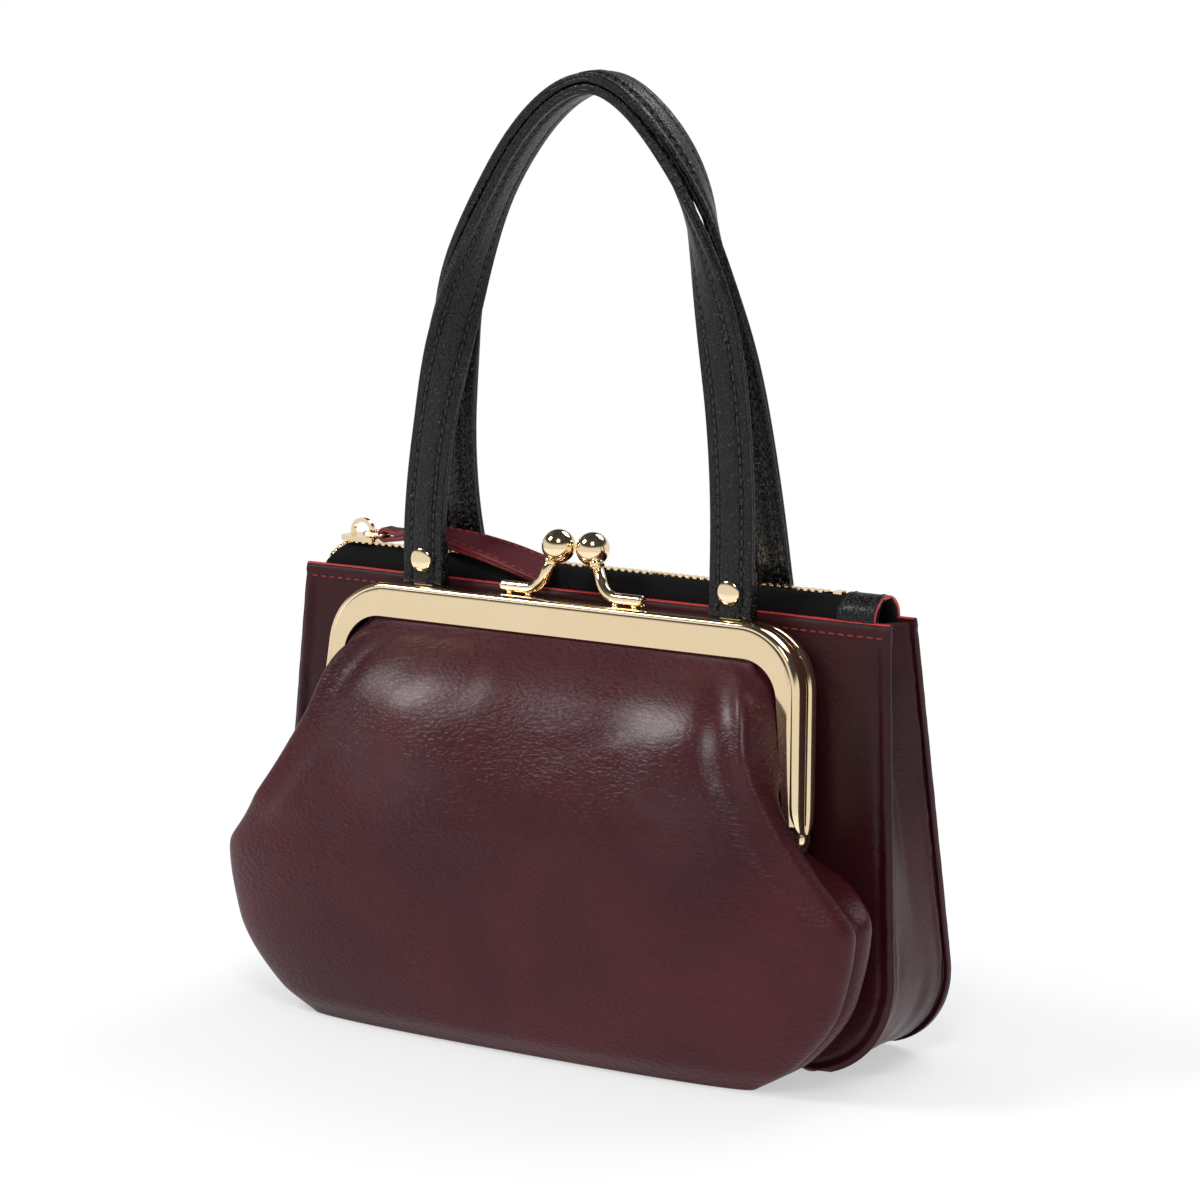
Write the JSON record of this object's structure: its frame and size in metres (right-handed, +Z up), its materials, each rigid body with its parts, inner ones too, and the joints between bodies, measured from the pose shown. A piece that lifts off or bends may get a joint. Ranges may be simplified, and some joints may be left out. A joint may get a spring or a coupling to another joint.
{
  "type": "kiss lock frame purse",
  "caption": "Leather handbag with a hinged metal kiss lock frame purse on the front of a zipped gusseted compartment, and arched strap handles.",
  "frame": {"origin": "On the floor, under the middle of the bag's bounding box.", "axes": "X runs along the bag's width, from the slider end to the end tab, Y from the purse at the front to the back panel, Z up to the handles."},
  "size_m": [0.233, 0.083, 0.3002],
  "materials": {
    "gold_metal": "polished pale gold plating",
    "burgundy_leather": "glazed, finely wrinkled, red painted edges",
    "black_leather": "grained, semi matt",
    "zip_tape": "black woven",
    "lining_cloth": "dark woven cloth",
    "cord": "twisted paper cord"
  },
  "bodies": {
    "bag": {"rear_frame": "gold_metal", "hinge_rivets": "gold_metal", "rear_frame_cord": "cord", "rear_clasp_rod": "gold_metal", "rear_clasp_ball": "gold_metal", "handle_eyes": "gold_metal", "rear_handle": "black_leather", "rear_handle_rivets": "gold_metal", "pouch_front_panel": "burgundy_leather", "pouch_rear_panel": "burgundy_leather", "pouch_front_lining": "lining_cloth", "pouch_rear_lining": "lining_cloth", "compartment_front_panel": "burgundy_leather", "compartment_back_panel": "burgundy_leather", "gusset": "burgundy_leather", "compartment_lining": "lining_cloth", "zip_tape_front": "zip_tape", "zip_teeth_front": "gold_metal", "zip_tape_rear": "zip_tape", "zip_teeth_rear": "gold_metal", "zip_top_stops": "gold_metal", "zip_bottom_stop": "gold_metal", "zip_end_tab": "black_leather"},
    "front_half": {"front_frame": "gold_metal", "front_frame_cord": "cord", "front_clasp_rod": "gold_metal", "front_clasp_ball": "gold_metal"},
    "handle": {"front_handle": "black_leather", "front_handle_rivets": "gold_metal", "handle_pins": "gold_metal"},
    "slider": {"zip_slider": "gold_metal"},
    "pull": {"pull_link": "gold_metal", "pull_tab": "burgundy_leather"}
  },
  "joints": [
    {"name": "frame_hinge", "type": "hinge", "parent": "bag", "child": "front_half", "pos_m": [0, -0.008, 0.075], "axis": [1, 0, 0], "range_deg": [0, 55], "deforming": ["pouch_front_panel", "pouch_front_lining"]},
    {"name": "front_handle_swing", "type": "hinge", "parent": "bag", "child": "handle", "pos_m": [0, 0.00268, 0.14178], "axis": [1, 0, 0], "range_deg": [0, 70]},
    {"name": "zip_slide", "type": "slide", "parent": "bag", "child": "slider", "axis": [1, 0, 0], "range_m": [0, 0.17], "deforming": ["zip_teeth_front", "zip_teeth_rear", "zip_tape_front", "zip_tape_rear", "pull_tab"]},
    {"name": "pull_swing", "type": "hinge", "parent": "slider", "child": "pull", "pos_m": [-0.0905, 0.0167, 0.1505], "axis": [0, -1, 0], "range_deg": [0, 90]}
  ]
}
